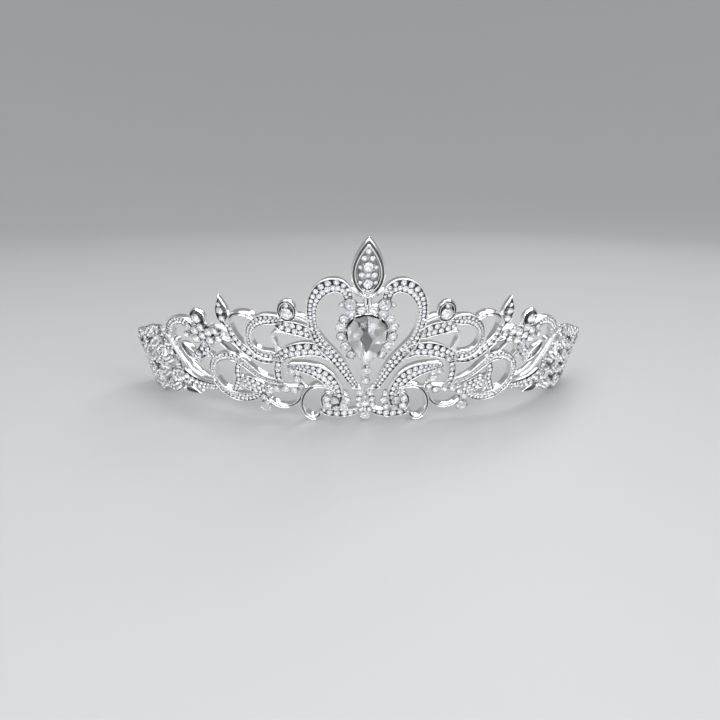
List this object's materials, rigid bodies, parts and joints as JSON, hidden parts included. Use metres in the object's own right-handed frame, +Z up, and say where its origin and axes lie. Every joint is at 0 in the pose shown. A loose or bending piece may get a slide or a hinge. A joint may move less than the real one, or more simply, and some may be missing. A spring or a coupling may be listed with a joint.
{
  "type": "tiara",
  "caption": "Open tiara: silver-plated filigree band with clear rhinestones, a heart-framed pear crystal under a pointed finial, curled wings and hair-pin loops at both ends.",
  "frame": {"origin": "centre of the tiara's footprint box on the surface it stands on", "axes": "+Z up, +X to the wearer's left along the widest line, -Y out of the front, +Y to the open back"},
  "size_m": [0.1604, 0.0571, 0.0578],
  "materials": {
    "cast_silver": "silver-plated zinc casting, slightly darkened in its hollows",
    "polished_silver": "bright silver plate, polished",
    "crystal": "clear cut glass with a silvered back"
  },
  "bodies": {
    "root": {"finial_rim": "polished_silver", "finial_bed": "cast_silver", "finial_stones": "crystal", "finial_bridge": "cast_silver", "pear_setting": "cast_silver", "pear_crystal": "crystal", "pear_claws": "polished_silver", "halo_cups": "cast_silver", "halo_stones": "crystal", "keel_frame": "cast_silver", "keel_stones": "crystal", "heart_lobe_right": "cast_silver", "heart_lobe_left": "cast_silver", "lobe_stones_right": "crystal", "lobe_stones_left": "crystal", "foot_scroll_right": "cast_silver", "foot_scroll_left": "cast_silver", "lower_scroll_right": "polished_silver", "lower_scroll_left": "polished_silver", "scroll_stones_right": "crystal", "scroll_stones_left": "crystal", "hanging_loop_right": "polished_silver", "hanging_loop_left": "polished_silver", "wing_ribbon_right": "cast_silver", "wing_ribbon_left": "cast_silver", "shoulder_ribbon_right": "cast_silver", "shoulder_ribbon_left": "cast_silver", "volute_right": "cast_silver", "volute_left": "cast_silver", "drop_setting_right": "polished_silver", "drop_setting_left": "polished_silver", "crest_stones_right": "crystal", "crest_stones_left": "crystal", "hook_wire_right": "polished_silver", "hook_wire_left": "polished_silver", "flame_leaf_right": "polished_silver", "flame_leaf_left": "polished_silver", "s_ribbon_right": "cast_silver", "s_ribbon_left": "cast_silver", "branch_right": "cast_silver", "branch_left": "cast_silver", "branch_stones_right": "crystal", "branch_stones_left": "crystal", "smile_loop_right": "polished_silver", "smile_loop_left": "polished_silver", "flower_plate_right": "cast_silver", "flower_plate_left": "cast_silver", "flower_stones_right": "crystal", "flower_stones_left": "crystal", "arch_scroll_right": "polished_silver", "arch_scroll_left": "polished_silver", "end_panel_right": "cast_silver", "end_panel_left": "cast_silver", "end_stones_right": "crystal", "end_stones_left": "crystal", "side_rail_right": "polished_silver", "side_rail_left": "polished_silver", "pin_loop_right": "polished_silver", "pin_loop_left": "polished_silver"}
  },
  "joints": []
}
